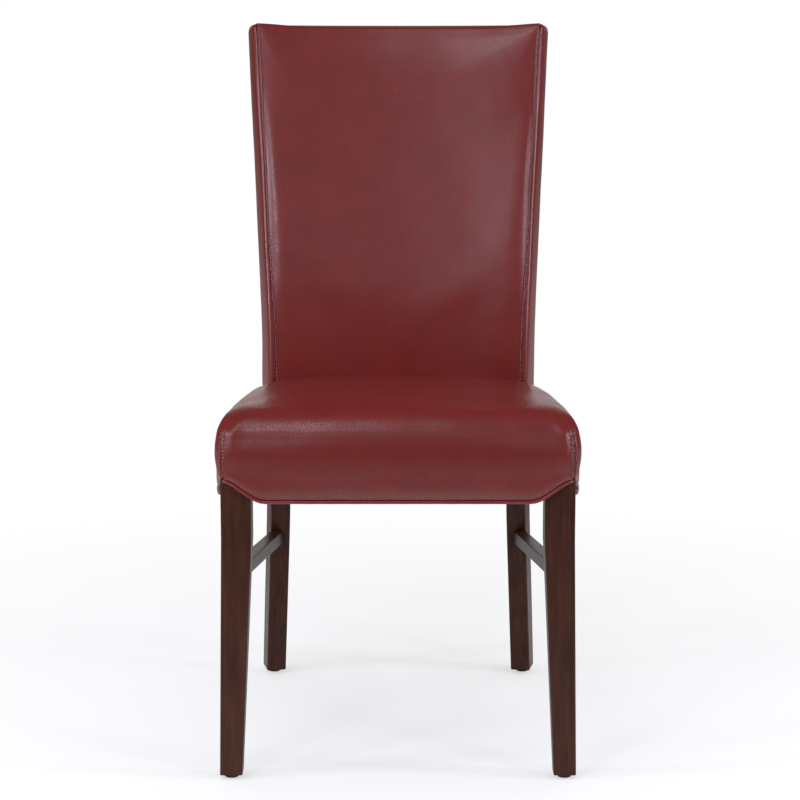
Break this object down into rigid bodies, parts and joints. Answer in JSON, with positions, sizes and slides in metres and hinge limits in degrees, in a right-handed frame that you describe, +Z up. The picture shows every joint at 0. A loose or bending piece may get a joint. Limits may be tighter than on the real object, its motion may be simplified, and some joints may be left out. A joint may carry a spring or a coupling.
{
  "type": "parsons dining chair",
  "caption": "Upholstered parsons dining chair: high raked back, crowned leather seat with a corded lower edge, tapered dark wooden legs and side stretchers.",
  "frame": {"origin": "on the floor, under the middle of the chair's bounding box", "axes": "+Z up; the chair faces -Y, so +Y points to its back; +X to the right as seen from the front"},
  "size_m": [0.476, 0.6186, 1],
  "materials": {
    "leather": "semi-gloss, fine pebble grain",
    "dark_wood": "dark stain under satin lacquer",
    "frame_wood": "sawn, unfinished",
    "steel": "zinc plated",
    "black_plastic": "matte",
    "webbing": "plain woven",
    "foam": "open-cell foam",
    "hardboard": "smooth hardboard",
    "black_cloth": "non-woven cloth"
  },
  "bodies": {
    "root": {"front_leg_left": "dark_wood", "front_leg_right": "dark_wood", "rear_post_left": "dark_wood", "rear_post_right": "dark_wood", "side_stretcher_left": "dark_wood", "side_stretcher_right": "dark_wood", "glide_front_left": "black_plastic", "glide_front_right": "black_plastic", "glide_rear_left": "black_plastic", "glide_rear_right": "black_plastic", "seat_rail_left": "frame_wood", "seat_rail_right": "frame_wood", "corner_block_front_left": "frame_wood", "corner_block_front_right": "frame_wood", "corner_block_rear_left": "frame_wood", "corner_block_rear_right": "frame_wood", "bolt_front_left": "steel", "bolt_front_right": "steel", "bolt_rear_left": "steel", "bolt_rear_right": "steel", "washer_front_left": "steel", "washer_front_right": "steel", "washer_rear_left": "steel", "washer_rear_right": "steel", "seat_rail_front": "frame_wood", "seat_rail_rear": "frame_wood", "back_rail_bottom": "frame_wood", "back_rail_middle": "frame_wood", "back_rail_top": "frame_wood", "seat_strap_long_1": "webbing", "seat_strap_long_2": "webbing", "seat_strap_long_3": "webbing", "seat_strap_cross_1": "webbing", "seat_strap_cross_2": "webbing", "seat_strap_cross_3": "webbing", "back_strap_1": "webbing", "back_strap_2": "webbing", "back_strap_3": "webbing", "seat_foam": "foam", "seat_cover": "leather", "seat_welt": "leather", "dust_cover": "black_cloth", "back_foam": "foam", "back_panel": "hardboard", "back_cover_front": "leather", "back_cover_rear": "leather"}
  },
  "joints": []
}
